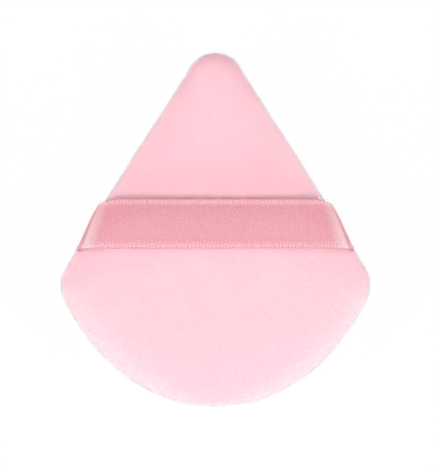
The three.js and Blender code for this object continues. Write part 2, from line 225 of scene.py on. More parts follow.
low, high = (np.array(c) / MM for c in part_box("back_velour"))
PAD_LENGTH = high[1] - low[1]
corner = np.array((PAD_WIDTH / 2 - CORNER_RADIUS, CORNER_HEIGHT - PAD_LENGTH / 2))
tip = np.array((0, PAD_LENGTH / 2 - TIP_RADIUS))
to_corner = corner - tip
side_angle = math.atan2(to_corner[1], to_corner[0]) + math.acos(
    (TIP_RADIUS - CORNER_RADIUS) / np.linalg.norm(to_corner))
side_normal = np.array((math.cos(side_angle), math.sin(side_angle)))
side_start = corner + CORNER_RADIUS * side_normal
side_end = tip + TIP_RADIUS * side_normal
print(f"pad: {PAD_WIDTH:.1f} by {PAD_LENGTH:.1f} mm, sides at {math.degrees(side_angle):.1f} degrees")


# %% Lines of a paper pattern
def arc(centre, radius, start, end, count):
    """Points of an arc, angles in radians."""
    angle = np.linspace(start, end, count)
    return centre + radius * np.stack((np.cos(angle), np.sin(angle)), 1)


def bezier(a, b, c, d, count):
    """Points of a cubic curve."""
    t = np.linspace(0, 1, count)[:, None]
    return (1 - t) ** 3 * a + 3 * (1 - t) ** 2 * t * b + 3 * (1 - t) * t ** 2 * c + t ** 3 * d


def stepped(points, count, closed=False):
    """The same line with count points at equal distances."""
    if closed:
        points = np.vstack((points, points[:1]))
    gone = np.concatenate(([0], np.cumsum(np.linalg.norm(np.diff(points, axis=0), axis=1))))
    at = np.linspace(0, gone[-1], count + 1)[:-1] if closed else np.linspace(0, gone[-1], count)
    return np.stack([np.interp(at, gone, points[:, k]) for k in range(points.shape[1])], 1)


# %% Step off the outline
RIM_COUNT = 640
CURVE_POINTS, ARC_POINTS = 400, 200


def pad_rim():
    """The whole outline, anticlockwise from the middle of the base, and its inward normals, in mm."""
    base_start = np.array((0, -PAD_LENGTH / 2))
    base_end = corner + CORNER_RADIUS * np.array((math.cos(CORNER_TURN), -math.sin(CORNER_TURN)))
    heading = np.array((math.sin(CORNER_TURN), math.cos(CORNER_TURN)))
    base_handle, flank_handle = base_start + (BASE_REACH, 0), base_end - FLANK_REACH * heading
    right = np.vstack((
        bezier(base_start, base_handle, flank_handle, base_end, CURVE_POINTS),
        arc(corner, CORNER_RADIUS, -CORNER_TURN, side_angle, ARC_POINTS)[1:],
        np.linspace(side_start, side_end, CURVE_POINTS)[1:],
        arc(tip, TIP_RADIUS, side_angle, math.pi / 2, ARC_POINTS)[1:],
    ))
    left = right[-2:0:-1] * (-1, 1)
    rim = stepped(np.vstack((right, left)), RIM_COUNT, closed=True)
    along = np.roll(rim, -1, 0) - np.roll(rim, 1, 0)
    along /= np.linalg.norm(along, axis=1)[:, None]
    return rim, np.stack((-along[:, 1], along[:, 0]), 1)


rim, inward = pad_rim()
rim_steps = np.linalg.norm(rim - np.roll(rim, 1, 0), axis=1)
rim_gone = np.arange(RIM_COUNT) * rim_steps.mean()
middle = np.array((0, corner[1] + CORNER_RADIUS * math.sin(side_angle)))
middle_depth = np.linalg.norm(rim - middle, axis=1).min()
print(f"outline: {RIM_COUNT} points, {rim_steps.sum():.0f} mm round")

# %% [markdown]
# ## The velour panels
# A cushion can be blown up by a cloth simulation, but this one is small, firm and held in shape by its
# sponge, so its section is known: a superellipse from the seam to the crown. Each panel is a closed
# shell: the outside, the crease of the seam, the turned-in edge and the inside. The outside is stepped
# finely and then pushed about a little, because sewn velour is never quite even: the seam puckers
# between its stitches, the ribbon pinches the edge where it comes out, and the filling is a little lumpy.

# %% Section of the cushion
SEAM_Z = seam_z / MM
CROWN_Z = high[2]
FABRIC = 1.4  # backing and pile together
SEAM_GAP = 0.2  # between the folds of the two panels
SEAM_GROOVE = 0.55  # how far the crease lies behind the edge
SEAM_ROLL = 1.1  # height of the roll beside the crease
LIP_REACH = 3.8  # depth of the turned-in edge
INSET_LIMIT = 4.1  # rings follow the rim to this depth, then shrink to the middle
FULLNESS = 3.0  # 2 is an ellipse, more is fuller at the edge
FRONT_ROUND = 4.6  # reach of the rounded rim of the applicator face
PILE_ROOM = 0.28  # the cloth lies this far inside, to leave room for its pile
SECTION_STEP = 0.4
SECTION_POINTS, ROLL_POINTS = 400, 30
print(f"section: seam at {SEAM_Z:.1f} mm, crown at {CROWN_Z:.1f} mm")


def rounded(edge, top):
    """A quarter superellipse from an edge (depth, z) to its top."""
    angle = np.linspace(0, math.pi / 2, SECTION_POINTS)
    share = np.stack((1 - np.cos(angle).clip(0) ** (2 / FULLNESS), np.sin(angle) ** (2 / FULLNESS)), 1)
    return np.array(edge) + share * (np.array(top) - np.array(edge))


def outside(crease_z, roll_z, edge, top):
    """The visible section of a panel: out of the crease, over the roll of the seam, up to the middle."""
    curve = rounded(edge, top)
    beyond = curve[(curve[:, 1] - roll_z) * np.sign(top[1] - edge[1]) > 0]
    roll = bezier(np.array((SEAM_GROOVE + PILE_ROOM, crease_z)), np.array((PILE_ROOM, crease_z)),
                  np.array((PILE_ROOM, (crease_z + roll_z) / 2)), beyond[0], ROLL_POINTS)
    line = np.vstack((roll, beyond[1:]))
    if line[-1, 0] < middle_depth:
        line = np.vstack((line, (middle_depth, top[1])))
    length = np.linalg.norm(np.diff(line, axis=0), axis=1).sum()
    return stepped(line, int(length / SECTION_STEP))


# %% Loft a shell from its section
def loft(name, profile):
    """A closed mesh from a section of (depth, z) in mm that starts and ends in the middle."""
    rings = []
    for depth, z in profile[1:-1]:
        flat = rim + min(depth, INSET_LIMIT) * inward
        scale = min(1, (middle_depth - depth) / (middle_depth - INSET_LIMIT))
        flat = middle + scale * (flat - middle)
        rings.append(np.column_stack((flat, np.full(RIM_COUNT, z))))
    points = np.vstack(([(*middle, profile[0][1])], *rings, [(*middle, profile[-1][1])]))
    here = np.arange(RIM_COUNT)
    ahead = np.roll(here, -1)
    faces = [(0, 1 + a, 1 + b) for a, b in zip(here, ahead)]
    for k in range(len(rings) - 1):
        inner, outer = 1 + k * RIM_COUNT, 1 + (k + 1) * RIM_COUNT
        faces += zip(inner + here, outer + here, outer + ahead, inner + ahead)
    last, end = 1 + (len(rings) - 1) * RIM_COUNT, len(points) - 1
    faces += [(last + a, end, last + b) for a, b in zip(here, ahead)]
    mesh = bpy.data.meshes.new(name)
    mesh.from_pydata((points * MM).tolist(), [], [tuple(int(i) for i in f) for f in faces])
    mesh.shade_smooth()
    piece = bpy.data.objects.new(name, mesh)
    bpy.context.collection.objects.link(piece)
    return piece


# %% [markdown]
# Every uneven thing about the cloth is a small push of a point along its normal or inwards. A sculpted
# mesh would do as well, but it couldn't be written down. The noise depends only on where a point lies, so
# the cushion comes out the same each time.

# %% Ramps, places and points
RIBBON_Y = sum(c[1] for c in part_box("ribbon_span")) / 2 / MM
RIBBON_WIDTH = (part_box("ribbon_span")[1][1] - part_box("ribbon_span")[0][1]) / MM


def smooth(value, start, end):
    """0 before start, 1 after end, eased between them."""
    t = np.clip((value - start) / (end - start), 0, 1)
    return t * t * (3 - 2 * t)


def bell(value, half):
    """1 at zero, easing to 0 at half on both sides."""
    return 1 - smooth(np.abs(value), 0, half)


def side_x(y):
    """x of the pad's straight right side at a given y, in mm."""
    return side_start[0] + (side_end[0] - side_start[0]) * (y - side_start[1]) / (side_end[1] - side_start[1])


def read_points(mesh):
    """Places, in mm, and normals of a mesh's points."""
    co = np.empty(len(mesh.vertices) * 3)
    normal = np.empty(len(mesh.vertices) * 3)
    mesh.vertices.foreach_get("co", co)
    mesh.vertices.foreach_get("normal", normal)
    return co.reshape(-1, 3) / MM, normal.reshape(-1, 3)


print(f"ribbon: {RIBBON_WIDTH:.1f} mm wide, its middle line at y = {RIBBON_Y:.1f} mm")

# %% Pinch of the ribbon
PINCH = (1.15, 0.25)  # depth at the ribbon's edge towards the base, and towards the tip
PINCH_START, PINCH_END = (-0.52, -0.38), (0.15, 0.40)  # in ribbon widths from its middle line
BELOW, BELOW_AT, BELOW_HALF = 0.4, -0.82, 0.45  # the cloth just below the ribbon is drawn in as well
SIDE_REACH, SEAM_REACH = 3.5, 5.5  # how far from the side and from the seam it is felt
SIDE_BULGE, BULGE_Y, BULGE_HALF = 0.3, 11, 20  # above the ribbon the straight sides bulge a little


def ribbon_pinch(co):
    """How far the sides are drawn in where the ribbon comes out, less how far they bulge, in mm."""
    near_side = bell(np.abs(co[:, 0]) - side_x(co[:, 1]), SIDE_REACH)
    across = (co[:, 1] - RIBBON_Y) / RIBBON_WIDTH
    within = smooth(across, *PINCH_START) * (1 - smooth(across, *PINCH_END))
    depth = PINCH[0] + (PINCH[1] - PINCH[0]) * (across + 0.5).clip(0, 1)
    pull = depth * within + BELOW * bell(across - BELOW_AT, BELOW_HALF) * (1 - within)
    bulge = SIDE_BULGE * near_side * bell(co[:, 1] - BULGE_Y, BULGE_HALF)
    return pull * near_side * bell(co[:, 2] - SEAM_Z, SEAM_REACH) - bulge


# %% Unevenness of sewn velour
LUMPS = ((16.0, 0.22), (5.0, 0.09), (1.7, 0.05), (0.8, 0.06))  # size and height of each kind
HELD_REACH, HELD = 3.2, 0.6  # near the seam the cloth is held, and its lumps are lower
PUCKER_PITCH, PUCKER = 3.6, 0.09
PUCKER_SHIFT, PUCKER_SHARE = 4, 0.6  # puckers are neither evenly spaced nor equally deep
SEAM_WANDER, WANDER_SIZE, WANDER_LAYER = 0.22, 6, 40
TABLE_CLOTH = 0.4  # cloth below this height lies flat on the table
TURN = 2 * math.pi


def uneven(piece, shown):
    """Pushes the outside of a panel about: shown holds the indices of its outside points."""
    co, normal = read_points(piece.data)
    push = np.zeros(len(co))
    at_seam = bell(co[:, 2] - SEAM_Z, HELD_REACH)
    for size, height in LUMPS:
        push[shown] += [height * noise.noise(Vector(co[i] / size)) for i in shown]
    push *= 1 - HELD * at_seam
    gone = np.concatenate(([0], np.tile(rim_gone, len(co) // RIM_COUNT + 1)))[:len(co)]
    wander = np.array([noise.noise(Vector((*co[i, :2] / WANDER_SIZE, WANDER_LAYER))) for i in shown])
    pucker = 0.5 - 0.5 * np.cos(TURN * gone[shown] / PUCKER_PITCH + PUCKER_SHIFT * wander)
    push[shown] -= PUCKER * pucker * (PUCKER_SHARE + wander) * at_seam[shown]
    push[co[:, 2] < TABLE_CLOTH] = 0
    co += normal * push[:, None]
    co[shown, 2] += SEAM_WANDER * wander * at_seam[shown]
    co[:, 2] = np.maximum(co[:, 2], 0)
    pinch = ribbon_pinch(co)
    co[shown, 0] -= np.sign(co[shown, 0]) * side_normal[0] * pinch[shown]
    piece.data.vertices.foreach_set("co", (co * MM).ravel())
    piece.data.update()


# %% [markdown]
# Velour looks different by the way its pile lies and the light falls on it. The two lower flanks of this
# puff face the light and look paler, and the tight curve of the tip faces away from it and looks a deeper
# pink. Here they are painted into the colour: painted light on the flanks and painted shade over the tip.
# Both could be painted on by hand, but that takes an image. So each point of the back panel keeps two
# numbers, worked out from the slope of the cloth, and the velour mixes its colours by them.

# %% Painted light on the flanks and painted shade over the tip
PAINTED_LIGHT_SLOPE = (0.05, 0.5)  # upward part of the normal: steeper cloth keeps its colour
PAINTED_LIGHT_BASE, PAINTED_LIGHT_FLANK = 0.15, 1.4  # how much painted light where a slope faces the base, and how much more on the flanks
PAINTED_LIGHT_LEAST, PAINTED_LIGHT_STRENGTH = 0.1, 1.25
TIP_RANGE, TIP_SLOPE = (24, 38), (0.45, 0.98)  # y in mm, and the upward part of the normal


def painted_light_from_slope(normal):
    """Painted light above 0, where a slope faces the base and the sides; painted shade below 0, where it
    faces the tip.
    """
    outwards = np.abs(normal[:, 0]) / np.hypot(normal[:, 0], normal[:, 1]).clip(1e-6)
    shoulder = smooth(normal[:, 2], *PAINTED_LIGHT_SLOPE)
    return PAINTED_LIGHT_STRENGTH * shoulder * (-normal[:, 1] * (PAINTED_LIGHT_BASE + PAINTED_LIGHT_FLANK * outwards) - PAINTED_LIGHT_LEAST)


def mark_painted_light_and_shade(piece):
    """Keeps on each point its painted light on the flanks and its painted shade over the tip."""
    co, normal = read_points(piece.data)
    painted_light = painted_light_from_slope(normal).clip(0, 1)
    painted_tip_shade = smooth(co[:, 1], *TIP_RANGE) * (1 - smooth(normal[:, 2], *TIP_SLOPE))
    for name, values in (("painted_light", painted_light), ("painted_tip_shade", painted_tip_shade)):
        piece.data.attributes.new(name, "FLOAT", "POINT").data.foreach_set("value", values)


# %% Back panel, under the ribbon
BACK_INSIDE_STEPS = 14

back_edge = SEAM_Z + SEAM_GAP / 2
lip_top = back_edge + FABRIC
back_crown = CROWN_Z - PILE_ROOM
back_line = outside(back_edge, back_edge + SEAM_ROLL, (PILE_ROOM, SEAM_Z), (middle_depth, back_crown))
back_inside = stepped(rounded((FABRIC, lip_top), (middle_depth, CROWN_Z - FABRIC)), BACK_INSIDE_STEPS)
back = loft("back_panel", np.vstack((
    back_line[::-1],
    ((LIP_REACH, back_edge), (LIP_REACH, lip_top)),
    back_inside,
)))
back_shown = np.arange(1 + (len(back_line) - 2) * RIM_COUNT)
uneven(back, back_shown)
mark_painted_light_and_shade(back)
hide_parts("back_velour")
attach(back, "pad")
print(f"back panel: {len(back.data.vertices)} points")

# %% Front panel, the applicator face
FRONT_INSIDE_STEPS = 10

front_edge = SEAM_Z - SEAM_GAP / 2
lip_bottom = front_edge - FABRIC
front_line = outside(front_edge, front_edge - SEAM_ROLL, (PILE_ROOM, SEAM_Z), (FRONT_ROUND, 0.0))
front_inside = np.vstack((
    stepped(rounded((FABRIC, lip_bottom), (FRONT_ROUND, FABRIC)), FRONT_INSIDE_STEPS),
    ((middle_depth, FABRIC),),
))
front = loft("front_panel", np.vstack((
    front_inside[::-1],
    ((LIP_REACH, lip_bottom), (LIP_REACH, front_edge)),
    front_line,
)))
hidden_rings = len(front_inside) + 1
front_shown = np.arange(1 + hidden_rings * RIM_COUNT, len(front.data.vertices))
uneven(front, front_shown)
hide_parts("front_velour")
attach(front, "pad")
print(f"front panel: {len(front.data.vertices)} points")

# %% [markdown]
# ## The sponge
# The filling is a thin open-cell foam, die-cut a little smaller than the pad. It is out of sight and could
# be left away, but it is what gives the pad its shape, so it is there. It is lofted like the panels, from
# their inside less a clearance, with the crushed edge that the seam gives it.

# %% Sponge filling
SPONGE_CLEARANCE = 0.3

sponge_top = np.array([(d, z - SPONGE_CLEARANCE) for d, z in back_inside if d > INSET_LIMIT])
sponge_floor = FABRIC + SPONGE_CLEARANCE
sponge = loft("sponge_filling", np.vstack((
    sponge_top[::-1],
    ((INSET_LIMIT, lip_top), (INSET_LIMIT, lip_bottom), (FRONT_ROUND + SPONGE_CLEARANCE, sponge_floor)),
    ((middle_depth, sponge_floor),),
)))
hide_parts("sponge_core")
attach(sponge, "pad")
print(f"sponge: {sponge_top[-1, 1] - sponge_floor:.1f} mm thick in the middle")

# %% [markdown]
# ## The ribbon
# The strap is a narrow satin-faced ribbon with a woven selvedge along both edges. Its tails are caught
# in the side seams. It comes out of the seam, stands up against the edge of the pad and bends over into
# a flat span with just enough slack for two fingers. A curve with a flat section would make it quickly,
# but its weave would stretch at the bends. So it is one strip of rows, each laid out by its true length.
# The sides of the pad slant, so the two edges of the ribbon bend at different places: each pair of values
# is for its edge towards the base and its edge towards the tip, and the rows between share them out.

# %% Path of the ribbon
RIBBON_THICKNESS, CAD_THICKNESS = 0.36, 0.4
ARCH_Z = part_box("ribbon_span")[1][2] / MM - CAD_THICKNESS / 2
RIBBON_ARCH, SPAN_POWER = 1.5, 3.0
EXIT, FOOT, LEG_TOP = (-1.0, -0.6), (0.2, 0.6), (-0.57, 1.68)  # outwards from the pad's side
BEND_RADIUS = (2.3, 1.7)
BEND_HANDLE, LEG_HANDLE, FOOT_HANDLE = 0.45, 3.5, 0.6  # handles of the curves: the first in radii
TAIL_DEPTH = 3.5
SPAN_POINTS, BEND_POINTS, TAIL_POINTS = 200, 120, 30
HALF_STEPS = 230


def between(pair, share):
    """A value at a share of the ribbon's width, from its edge towards the base."""
    return pair[0] + (pair[1] - pair[0]) * share


def ribbon_line(share):
    """Half of the ribbon's path at a share of its width, from the centre out, its bend and its length."""
    y = RIBBON_Y + (share - 0.5) * RIBBON_WIDTH
    exit_x, foot_x, leg_x = (side_x(y) + between(pair, share) for pair in (EXIT, FOOT, LEG_TOP))
    radius = between(BEND_RADIUS, share)
    bend_x, bend_z = leg_x - radius, ARCH_Z - RIBBON_ARCH
    x = np.linspace(0, bend_x, SPAN_POINTS)
    z = ARCH_Z - RIBBON_ARCH * (x / bend_x) ** SPAN_POWER
    span = np.stack((x, np.full(SPAN_POINTS, y), z), 1)
    drop = SPAN_POWER * RIBBON_ARCH / bend_x * (1 - BEND_HANDLE) * radius
    knee_z = bend_z - radius
    hold = BEND_HANDLE * radius
    knee = bezier(span[-1], np.array((leg_x - hold, y, bend_z - drop)),
                  np.array((leg_x, y, bend_z - hold)), np.array((leg_x, y, knee_z)), BEND_POINTS)
    leg = bezier(knee[-1], np.array((leg_x, y, knee_z - LEG_HANDLE)),
                 np.array((foot_x + FOOT_HANDLE, y, SEAM_Z)), np.array((exit_x, y, SEAM_Z)), BEND_POINTS)
    tail_x = side_x(y) - TAIL_DEPTH / math.cos(side_angle)
    tail = np.linspace(leg[-1], (tail_x, y, SEAM_Z), TAIL_POINTS)
    line = np.vstack((span, knee[1:], leg[1:], tail[1:]))
    turn_at = np.linalg.norm(np.diff(span, axis=0), axis=1).sum()
    length = np.linalg.norm(np.diff(line, axis=0), axis=1).sum()
    return stepped(line, HALF_STEPS + 1), turn_at, length


print(f"ribbon: its arch is {ARCH_Z:.1f} mm above the table")

# %% Lay out the rows
EDGE_ROWS = (0, 0.12, 0.3, 0.5, 0.7, 0.9, 1.1, 1.35)  # close together, to show the selvedge
FLAT_ROWS = 16

flat_rows = np.linspace(EDGE_ROWS[-1], RIBBON_WIDTH - EDGE_ROWS[-1], FLAT_ROWS + 2)[1:-1]
rows = np.concatenate((EDGE_ROWS, flat_rows, RIBBON_WIDTH - np.array(EDGE_ROWS)[::-1]))
share = (rows / RIBBON_WIDTH)[:, None]
grid, along, past_bend = [], [], []
for row in rows:
    line, turn_at, length = ribbon_line(row / RIBBON_WIDTH)
    gone = np.linspace(0, length, HALF_STEPS + 1)
    grid.append(np.vstack((line[:0:-1] * (-1, 1, 1), line)))
    along.append(np.concatenate((-gone[:0:-1], gone)))
    past_bend.append(np.abs(along[-1]) - turn_at)
grid, along, past_bend = np.array(grid), np.array(along), np.array(past_bend)

# %% Slack of the ribbon
BASE_DROOP, TIP_DROOP = (0.6, 0.5, 5.0), (2.4, -2.5, 6.0)  # depth, and from where to where past the bend
DROOP_POWER = 4
SLACK_END = (-6, 2)
CUP = 0.4
RIPPLE, RIPPLE_LENGTH, RIPPLE_LAYER = 0.22, 13.0, 7

for (depth, start, end), to_edge in ((BASE_DROOP, 1 - share), (TIP_DROOP, share)):
    grid[:, :, 1] -= depth * to_edge ** DROOP_POWER * smooth(past_bend, start, end)
slack = 1 - smooth(past_bend, *SLACK_END)
ripple = np.array([
    [noise.noise(Vector((u / RIPPLE_LENGTH, row / RIPPLE_LENGTH, RIPPLE_LAYER))) for u in line]
    for row, line in zip(rows, along)])
grid[:, :, 2] += slack * (RIPPLE * ripple - CUP * (2 * share - 1) ** 2)
print(f"ripple: {RIPPLE * np.ptp(ripple):.2f} mm from lowest to highest")

# %% Selvedges in relief
SELVEDGE = 1.1
LOOP_PITCH, LOOP_HEIGHT = 0.78, 0.07
LOOP_SHIFT, LOOP_SHIFT_LENGTH = 1.3, 3.7  # the loops aren't quite evenly spaced
LOOP_FADE, CORD_FADE = 0.7, 0.35  # shares of the selvedge at which each starts to sink
CORD_HEIGHT = 0.04
EDGE_WAVE, EDGE_REACH = 0.03, 0.5
UNDERSIDE = 0.6

face_normal = np.cross(np.gradient(grid, axis=1), np.gradient(grid, axis=0))
face_normal /= np.linalg.norm(face_normal, axis=2)[:, :, None]
from_edge = np.minimum(rows, RIBBON_WIDTH - rows)[:, None]
phase = TURN * along / LOOP_PITCH + LOOP_SHIFT * np.sin(along / LOOP_SHIFT_LENGTH)
loop_relief = (0.5 + 0.5 * np.cos(phase)) * (1 - smooth(from_edge, LOOP_FADE * SELVEDGE, SELVEDGE))
cord_relief = 1 - smooth(from_edge, CORD_FADE * SELVEDGE, SELVEDGE)
height = LOOP_HEIGHT * loop_relief + CORD_HEIGHT * cord_relief
edge_wave = EDGE_WAVE * np.cos(phase) * (1 - smooth(from_edge, 0, EDGE_REACH))
grid[:, :, 1] += np.where(rows < RIBBON_WIDTH / 2, -1, 1)[:, None] * edge_wave
top = grid + face_normal * (RIBBON_THICKNESS / 2 + height)[:, :, None]
bottom = grid - face_normal * (RIBBON_THICKNESS / 2 + UNDERSIDE * height)[:, :, None]
print(f"selvedges: {SELVEDGE} mm wide, {height.max():.2f} mm proud")

# %% Weave the strip
points = np.vstack((top.reshape(-1, 3), bottom.reshape(-1, 3)))
over = np.arange(along.size).reshape(along.shape)
under = over + along.size
faces = []
for r in range(len(rows) - 1):
    faces += zip(over[r, :-1], over[r, 1:], over[r + 1, 1:], over[r + 1, :-1])
    faces += zip(under[r, :-1], under[r + 1, :-1], under[r + 1, 1:], under[r, 1:])
faces += zip(over[0, 1:], over[0, :-1], under[0, :-1], under[0, 1:])
faces += zip(over[-1, :-1], over[-1, 1:], under[-1, 1:], under[-1, :-1])
faces += zip(over[:-1, 0], over[1:, 0], under[1:, 0], under[:-1, 0])
faces += zip(over[1:, -1], over[:-1, -1], under[:-1, -1], under[1:, -1])
ribbon_mesh = bpy.data.meshes.new("ribbon_strap")
ribbon_mesh.from_pydata((points * MM).tolist(), [], [tuple(int(i) for i in f) for f in faces])
ribbon_mesh.shade_smooth()
print(f"strip: {len(faces)} faces")

# %% [markdown]
# The weave has to run along the strip, so the strip carries its own flat measure: a UV map in which one
# unit is one millimetre. It also keeps, on each point, how near it is to the bend, for a painted highlight:
# satin folded over catches a bright line of light there. The painted line is sharp on the outside and fades
# towards the span.

# %% Flat measure and painted bend highlight of the ribbon
CREASE_AT = 1.1  # past the start of the bend
CREASE_OUT, CREASE_IN, CREASE_POWER = 0.9, (3.2, 1.8), 1.3  # its reach both ways, and how fast it fades
PAINTED_BEND_HIGHLIGHT = (1.25, 0.65)

flat = np.stack((along, np.broadcast_to(rows[:, None], along.shape)), 2).reshape(-1, 2)
flat = np.vstack((flat, flat))
corner_points = np.empty(len(ribbon_mesh.loops), np.int32)
ribbon_mesh.loops.foreach_get("vertex_index", corner_points)
uv = ribbon_mesh.uv_layers.new(name="ribbon_mm")
uv.uv.foreach_set("vector", flat[corner_points].astype(np.float32).ravel())
# The crease mark is a painted highlight along the bend, stronger at the edge towards the base.
inner = (1 - (CREASE_AT - past_bend) / between(CREASE_IN, share)).clip(0) ** CREASE_POWER
outer = bell(past_bend - CREASE_AT, CREASE_OUT)
crease = np.where(past_bend > CREASE_AT, outer, inner) * between(PAINTED_BEND_HIGHLIGHT, share)
bend_highlight_mark = ribbon_mesh.attributes.new("crease", "FLOAT", "POINT")
bend_highlight_mark.data.foreach_set("value", np.tile(crease.ravel(), 2))

ribbon = bpy.data.objects.new("ribbon_strap", ribbon_mesh)
bpy.context.collection.objects.link(ribbon)
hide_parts("ribbon_span", "ribbon_right_end", "ribbon_left_end")
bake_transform(ribbon)
print(f"ribbon: {len(ribbon_mesh.vertices)} points, bends {past_bend.max():.1f} mm from its tails")

# %% [markdown]
# ## Velour
# Velour is a knitted polyester with a short cut pile that stands up like a brush. A plain matt colour
# would look like paper. Its surface has no gloss, but fibres at a slant catch the light at the rims,
# which is what the sheen lobe is for, and light wanders a little way between them, which is what
# scattering is for. Each fibre is far finer than a pixel, so the pile's grain is drawn about ten times
# as coarse as it is.

# %% Velour material
PILE_GRAIN = 0.45
NAP_PATCH = 7.0
GRAIN_SHARE = 0.35
SHEEN = linear("#FFE6EC")
SCATTER = (1.0, 0.6, 0.7)  # red light goes furthest in pink fibre

# Knitted, cut and brushed polyester: matt all over, soft in the shade, with a pale bloom at the rims.
velour, tree = new_material("polyester_velour")
place = add(tree, "ShaderNodeTexCoord").outputs["Object"]
nap = add(tree, "ShaderNodeTexNoise", {"Vector": place, "Scale": 1 / (NAP_PATCH * MM), "Detail": 3.0})
grain = add(tree, "ShaderNodeTexNoise", {"Vector": place, "Scale": 1 / (PILE_GRAIN * MM), "Detail": 2.0})
tint = add(tree, "ShaderNodeMix", {0: nap.outputs[0], 6: linear("#FFC2CE"), 7: linear("#FFCCD7")},
           data_type="RGBA")
speck = add(tree, "ShaderNodeMix", {0: grain.outputs[0], 6: linear("#FFBFCB"), 7: linear("#FFCFD8")},
            data_type="RGBA")
standing = add(tree, "ShaderNodeMix", {0: GRAIN_SHARE, 6: tint.outputs[2], 7: speck.outputs[2]},
               data_type="RGBA")
# Painted light: the lower flanks are mixed towards pale pink.
painted_light = add(tree, "ShaderNodeAttribute", attribute_name="painted_light").outputs["Fac"]
with_painted_light = add(tree, "ShaderNodeMix", {0: painted_light, 6: standing.outputs[2], 7: linear("#FFE7ED")}, data_type="RGBA")
# Painted shade: over the curve of the tip the colour is mixed towards a deeper pink.
painted_tip_shade = add(tree, "ShaderNodeAttribute", attribute_name="painted_tip_shade").outputs["Fac"]
colour = add(tree, "ShaderNodeMix", {0: painted_tip_shade, 6: with_painted_light.outputs[2], 7: linear("#F5A4B9")}, data_type="RGBA")
bump = add(tree, "ShaderNodeBump", {"Height": grain.outputs[0], "Strength": 0.35, "Distance": 0.1 * MM})
shader = add(tree, "ShaderNodeBsdfPrincipled", {
    "Base Color": colour.outputs[2],
    "Roughness": 1.0,
    "Specular IOR Level": 0.1,
    "Subsurface Weight": 1.0,
    "Subsurface Radius": SCATTER,
    "Subsurface Scale": 1.0 * MM,
    "Sheen Weight": 1.0,
    "Sheen Roughness": 0.7,
    "Sheen Tint": SHEEN,
    "Normal": bump.outputs[0],
}, subsurface_method="BURLEY")
add(tree, "ShaderNodeOutputMaterial", {"Surface": shader.outputs[0]})
for panel in (back, front):
    panel.data.materials.append(velour)
print("velour:", len(tree.nodes), "nodes")

# %% [markdown]
# ## The pile
# What makes velour soft to the eye is its pile: at the edge of the pad it blurs the outline, and on the
# face it breaks up the light. A hair system would draw it, but the finished part is a mesh, so each
# tuft here is a thin closed spike, rooted in the cloth and leaning towards the base, the way the nap was
# brushed. Real pile has hundreds of fibres to the square millimetre, and one spike stands for a tuft of
# them. Spikes this coarse would shade the cloth and look dark on one side, which real fibres don't. So
# they cast no shadow, and their normals are turned up towards those of the cloth. There are pale and
# deeper tufts. On the back the pale ones crowd on the slopes that face the base and thin out on those
# that face the tip, as painted light and painted shade.

# %% Pile material
# Cut polyester fibre: the same matt pink as the cloth, a little paler, with soft light inside each tuft.
def pile_material(name, colour):
    """Polyester fibre of one colour, with the sheen and scattering of the cloth."""
    material, tree = new_material(name)
    shader = add(tree, "ShaderNodeBsdfPrincipled", {
        "Base Color": linear(colour),
        "Roughness": 1.0,
        "Specular IOR Level": 0.1,
        "Subsurface Weight": 1.0,
        "Subsurface Radius": SCATTER,
        "Subsurface Scale": 0.3 * MM,
        "Sheen Weight": 1.0,
        "Sheen Roughness": 0.6,
        "Sheen Tint": SHEEN,
    }, subsurface_method="BURLEY")
    add(tree, "ShaderNodeOutputMaterial", {"Surface": shader.outputs[0]})
    return material


pale = pile_material("polyester_pile_pale", "#FFEEF2")
deep = pile_material("polyester_pile_deep", "#FFD3DC")
print("pile: two colours of fibre")

# %% Places for the tufts
PILE_LENGTH = 0.48
BARE_BELOW, BARE_ABOVE = 0.15, -0.8  # how far the bare cloth at the ribbon reaches past its edges
BARE_DEPTH, BARE_DROP = 3.0, 0.6  # and how far in from the side and down from the seam
THIN_FROM, THIN_RATE, THINNEST = 1.2, 2, 0.1  # fewer tufts on the slopes that face the tip, as painted shade


def tuft_places(panel, shown, count, draw, painted_light_crowding):
    """Roots of tufts on the outside of a panel, and the cloth's normals there."""
    panel.data.calc_loop_triangles()
    corners = np.empty(len(panel.data.loop_triangles) * 3, np.int32)
    panel.data.loop_triangles.foreach_get("vertices", corners)
    corners = corners.reshape(-1, 3)
    corners = corners[np.isin(corners, shown).all(1)]
    co, normal = read_points(panel.data)
    a, b, c = (co[corners[:, k]] for k in range(3))
    area = np.linalg.norm(np.cross(b - a, c - a), axis=1)
    area[a[:, 2] < PILE_LENGTH] = 0
    across = a[:, 1] - RIBBON_Y
    at_ribbon = (across > -RIBBON_WIDTH / 2 - BARE_BELOW) & (across < RIBBON_WIDTH / 2 + BARE_ABOVE)
    at_seam = (side_x(a[:, 1]) - np.abs(a[:, 0]) < BARE_DEPTH) & (a[:, 2] > SEAM_Z - BARE_DROP)
    area[at_ribbon & at_seam] = 0
    # Painted light and shade: tufts crowd where a slope faces the base and thin out where it faces the tip.
    if painted_light_crowding:
        painted_light = painted_light_from_slope(normal[corners[:, 0]])
        area *= np.where(painted_light > 0, 1 + painted_light_crowding * painted_light, (THIN_FROM + THIN_RATE * painted_light).clip(THINNEST, 1))
    pick = corners[draw.choice(len(corners), count, p=area / area.sum())]
    share = draw.dirichlet((1, 1, 1), count)[:, :, None]
    up = (normal[pick] * share).sum(1)
    density = 2 * count / area.sum()
    print(f"{panel.name}: {count} tufts, {density:.1f} to the square millimetre on level cloth")
    return (co[pick] * share).sum(1), up / np.linalg.norm(up, axis=1)[:, None]


# %% Shape of the tufts
PILE_RADIUS, PILE_ROOT = 0.06, 0.08
PILE_SPREAD = (0.6, 1.2)  # shortest and longest, in pile lengths
PILE_LEAN, PILE_JITTER = 0.12, 0.18  # along the nap, and by chance
PILE_LIFT, PILE_FACING = 0.6, 0.2  # how far normals are turned up, and how far they differ
SPIKE = np.array(((0, 1, 3), (1, 2, 3), (2, 0, 3), (2, 1, 0)))
UP, DOWN_THE_PAD = np.array((0, 0, 1)), np.array((0, -1, 0))


def unit(vectors):
    """The same directions, each one long."""
    return vectors / np.linalg.norm(vectors, axis=1)[:, None]


